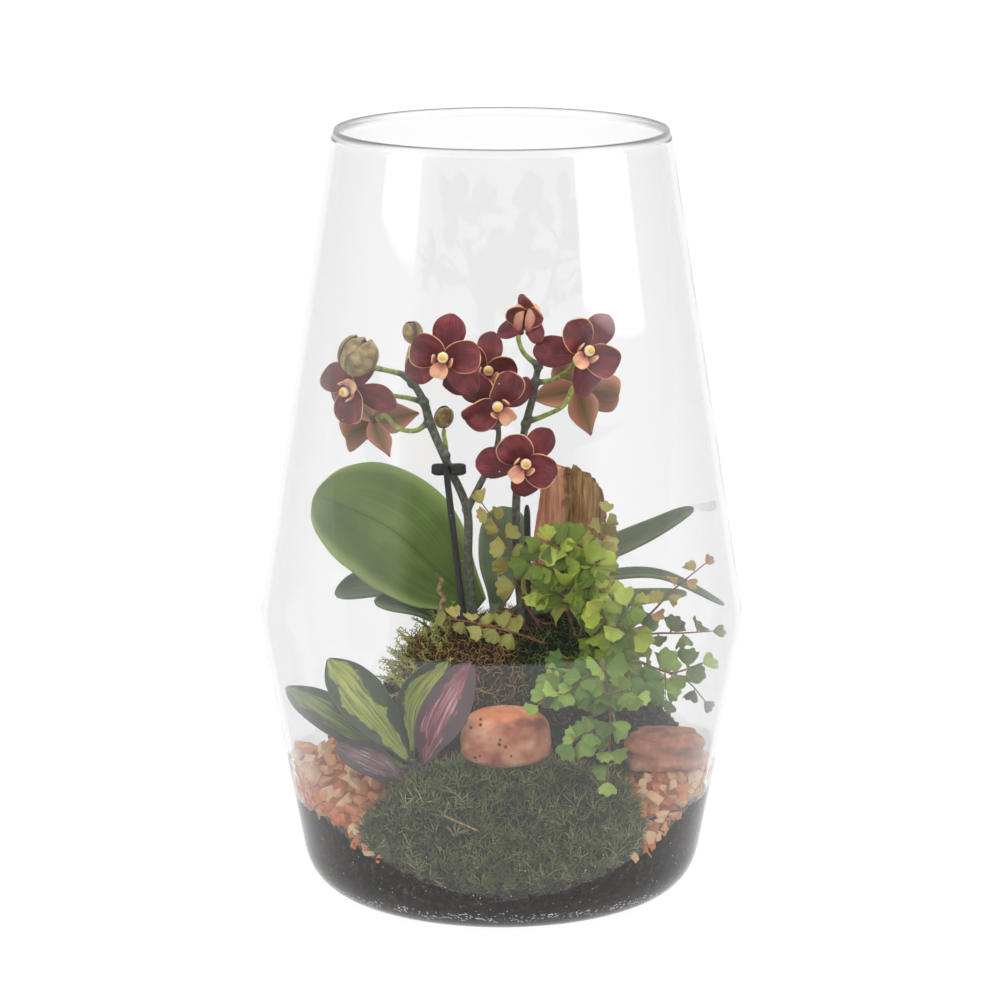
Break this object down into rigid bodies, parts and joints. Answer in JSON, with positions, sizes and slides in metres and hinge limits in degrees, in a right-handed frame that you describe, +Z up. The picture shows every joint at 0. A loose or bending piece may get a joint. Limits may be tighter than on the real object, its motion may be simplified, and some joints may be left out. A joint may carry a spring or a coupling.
{
  "type": "moth orchid terrarium",
  "caption": "Tall clear glass vase, widest at a low shoulder, planted with a maroon moth orchid, fern, waxy plant, moss, stones and chips on a bank of dark soil.",
  "frame": {"origin": "centre of the vase's foot, on the surface that it stands on", "axes": "+Z up along the vase's axis, -Y towards the side that the flowers face, +X to the right seen from that side"},
  "size_m": [0.2516, 0.2516, 0.4],
  "materials": {
    "clear_glass": "clear and polished",
    "plant_stem": "smooth dark green to brown",
    "black_stake": "matte black",
    "tepal": "satin maroon with a thin yellow-orange margin",
    "lip": "satin peach",
    "bud": "satin yellow-green",
    "orchid_leaf": "satin green",
    "bark": "rough and fibrous",
    "pebble": "worn and pitted",
    "rock": "rough and layered",
    "variegated": "waxy, dark green margin and yellow-green middle",
    "moss": "soft tufts",
    "chips": "rough",
    "bog_moss": "loose strands",
    "soil": "crumbly and damp",
    "fern": "matte light green"
  },
  "bodies": {
    "root": {"glass_vase": "clear_glass", "flower_stem_left": "plant_stem", "flower_stem_right": "plant_stem", "stake_left": "black_stake", "stake_right": "black_stake", "stem_clip": "black_stake", "bloom_far_left": "tepal", "lip_far_left": "lip", "bloom_left_back": "tepal", "lip_left_back": "lip", "bloom_upper_left": "tepal", "lip_upper_left": "lip", "bloom_centre_back": "tepal", "lip_centre_back": "lip", "bloom_centre": "tepal", "lip_centre": "lip", "bloom_lower_right": "tepal", "lip_lower_right": "lip", "bloom_upper_right": "tepal", "lip_upper_right": "lip", "bloom_right_back": "tepal", "lip_right_back": "lip", "bloom_top": "tepal", "lip_top": "lip", "bud_large": "bud", "bud_small": "bud", "bud_behind": "bud", "orchid_crown": "orchid_leaf", "orchid_leaf_large": "orchid_leaf", "orchid_leaf_left_back": "orchid_leaf", "orchid_leaf_left_low": "orchid_leaf", "orchid_leaf_right_upper": "orchid_leaf", "orchid_leaf_right_middle": "orchid_leaf", "orchid_leaf_right_low": "orchid_leaf", "bark_chunk": "bark", "river_pebble": "pebble", "layered_rock": "rock", "waxy_stem": "variegated", "waxy_leaf_far_left": "variegated", "waxy_leaf_left": "variegated", "waxy_leaf_middle": "variegated", "waxy_leaf_right": "variegated", "waxy_leaf_front": "variegated", "moss_cushion": "moss", "gravel_left": "chips", "gravel_right": "chips", "root_ball": "bog_moss", "soil": "soil", "frond_young": "fern", "frond_tall": "fern", "frond_middle": "fern", "frond_red_right": "fern", "frond_right": "fern", "frond_right_front": "fern", "frond_right_low": "fern", "frond_hanging": "fern", "frond_front": "fern", "frond_middle_low": "fern", "frond_creeping": "fern"}
  },
  "joints": []
}
